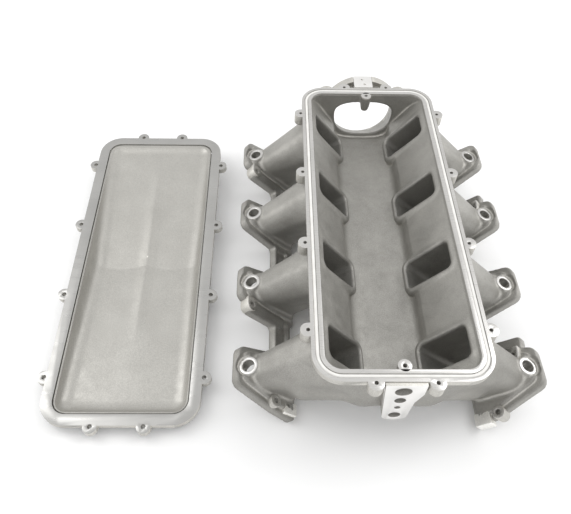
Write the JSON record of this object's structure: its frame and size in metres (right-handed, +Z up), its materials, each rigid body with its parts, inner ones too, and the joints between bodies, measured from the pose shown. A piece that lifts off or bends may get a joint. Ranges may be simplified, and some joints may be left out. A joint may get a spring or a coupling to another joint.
{
  "type": "intake manifold",
  "caption": "Cast V8 intake manifold: open plenum base with sloping runners, head flanges, injector bosses and throttle flange, and its lid lying upside down beside it.",
  "frame": {"origin": "on the floor, under the middle of the whole object's bounding box", "axes": "+X from the lid towards the base, +Y towards the throttle end, +Z up"},
  "size_m": [0.5726, 0.4832, 0.136],
  "materials": {
    "cast": "fine sand-cast skin, matt",
    "machined": "milled, satin with fine tool marks",
    "seal": "pale silicone cord, matt"
  },
  "bodies": {
    "base": {"plenum_floor": "cast", "plenum_wall_left_1": "cast", "plenum_wall_right_1": "cast", "plenum_wall_left_2": "cast", "plenum_wall_right_2": "cast", "plenum_wall_left_3": "cast", "plenum_wall_right_3": "cast", "plenum_wall_left_4": "cast", "plenum_wall_right_4": "cast", "plenum_end_rear": "cast", "plenum_end_throttle": "cast", "plenum_rim": "machined", "rim_seal": "seal", "runner_left_1": "cast", "head_flange_left_1": "cast", "injector_boss_left_1": "machined", "runner_left_2": "cast", "head_flange_left_2": "cast", "injector_boss_left_2": "machined", "runner_left_3": "cast", "head_flange_left_3": "cast", "injector_boss_left_3": "machined", "runner_left_4": "cast", "head_flange_left_4": "cast", "injector_boss_left_4": "machined", "runner_right_1": "cast", "head_flange_right_1": "cast", "injector_boss_right_1": "machined", "runner_right_2": "cast", "head_flange_right_2": "cast", "injector_boss_right_2": "machined", "runner_right_3": "cast", "head_flange_right_3": "cast", "injector_boss_right_3": "machined", "runner_right_4": "cast", "head_flange_right_4": "cast", "injector_boss_right_4": "machined", "flange_rail_left_1": "cast", "flange_rail_left_2": "cast", "flange_rail_left_3": "cast", "flange_rail_right_1": "cast", "flange_rail_right_2": "cast", "flange_rail_right_3": "cast", "rail_lug_left_1": "machined", "rail_lug_left_3": "machined", "rail_lug_right_2": "machined", "rail_lug_right_4": "machined", "foot_boss_left": "machined", "foot_pad_left": "machined", "foot_boss_right": "machined", "foot_pad_right": "machined", "inner_boss_rear": "machined", "inner_boss_throttle": "machined", "throttle_neck": "cast", "throttle_flange": "machined", "throttle_sensor_pad": "machined", "rear_port_block": "machined"},
    "lid": {"lid_rim": "machined", "lid_shell": "cast"}
  },
  "joints": [
    {"name": "lid_turn", "type": "hinge", "parent": "base", "child": "lid", "pos_m": [-0.0363, -0.00722, 0.08139], "axis": [0, 0.9998, 0.0218], "range_deg": [0, 180]}
  ]
}
